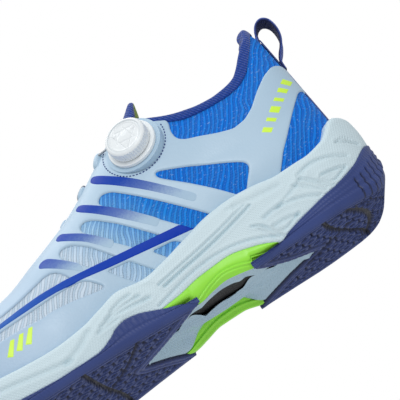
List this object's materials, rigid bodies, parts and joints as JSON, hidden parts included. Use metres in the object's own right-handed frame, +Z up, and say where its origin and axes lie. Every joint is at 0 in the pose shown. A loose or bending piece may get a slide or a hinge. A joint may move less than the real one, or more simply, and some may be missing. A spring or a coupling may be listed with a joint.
{
  "type": "court shoe",
  "caption": "Left court shoe with a rotary-dial lace, mesh upper under fused overlays, foam midsole with arch rails and plate, and a two-part rubber outsole.",
  "frame": {"origin": "bottom centre of the shoe's box, on the ground under the arch", "axes": "+X from toe to heel, along the shoe's length; -Y toward the outer (lateral) side; +Z up"},
  "size_m": [0.2853, 0.1032, 0.1201],
  "materials": {
    "outsole_rubber": "matt ribbed rubber",
    "midsole_foam": "matt moulded foam with a fine knurl",
    "rail_tpu": "satin moulded elastomer",
    "carbon_plate": "lacquered woven carbon",
    "cushion_gel": "soft resin",
    "board_fibre": "stitched fibre board",
    "insole_foam": "open cell foam",
    "insole_cloth": "brushed knit",
    "mesh_blue": "engineered mesh",
    "mesh_fade": "engineered mesh, fading blue to white",
    "overlay_film": "fused film, satin",
    "stripe_film": "fused film, satin",
    "counter_plastic": "thermoplastic sheet",
    "collar_knit": "ribbed knit",
    "lining_knit": "soft knit",
    "lining_lime": "soft knit",
    "webbing": "woven tape",
    "dial_white": "satin moulded nylon",
    "dial_inner": "moulded nylon",
    "steel": "stainless",
    "steel_lace": "coated stainless cable"
  },
  "bodies": {
    "shoe": {"outsole_heel": "outsole_rubber", "outsole_forefoot": "outsole_rubber", "midsole": "midsole_foam", "arch_rail_lateral": "rail_tpu", "arch_rail_medial": "rail_tpu", "carbon_shank": "carbon_plate", "heel_cushion_insert": "cushion_gel", "forefoot_cushion_insert": "cushion_gel", "strobel_board": "board_fibre", "insole_foam": "insole_foam", "insole_cover": "insole_cloth", "heel_quarter": "mesh_blue", "vamp": "mesh_fade", "lateral_overlay": "overlay_film", "medial_overlay": "overlay_film", "toe_overlay": "overlay_film", "lateral_stripe": "stripe_film", "heel_counter": "counter_plastic", "toe_puff": "counter_plastic", "collar_band": "collar_knit", "collar_foam": "insole_foam", "collar_lining": "lining_knit", "foot_lining": "lining_knit", "tongue": "collar_knit", "tongue_lining": "lining_lime", "heel_tape": "webbing", "heel_pull_loop": "webbing", "dial_flange": "dial_white", "dial_housing": "dial_white", "dial_screw": "steel", "lace_cable": "steel_lace", "lateral_lace_guides": "overlay_film", "medial_lace_guides": "overlay_film"},
    "drive": {"dial_drive_ring": "dial_inner", "dial_release_spring": "steel"},
    "knob": {"dial_knob": "dial_white", "dial_cap": "dial_white"},
    "spool": {"dial_spool": "dial_inner"}
  },
  "joints": [
    {"name": "dial_turn", "type": "hinge", "parent": "shoe", "child": "drive", "pos_m": [0.04547, -0.02683, 0.0884], "axis": [-0.2059, -0.9027, 0.3779], "continuous": true},
    {"name": "knob_pull", "type": "slide", "parent": "drive", "child": "knob", "axis": [-0.2059, -0.9027, 0.3779], "range_m": [0, 0.0025]},
    {"name": "spool_turn", "type": "hinge", "parent": "shoe", "child": "spool", "pos_m": [0.04547, -0.02683, 0.0884], "axis": [-0.2059, -0.9027, 0.3779], "continuous": true}
  ],
  "couplings": [
    {"joint": "spool_turn", "follows": "dial_turn", "ratio": 1}
  ]
}
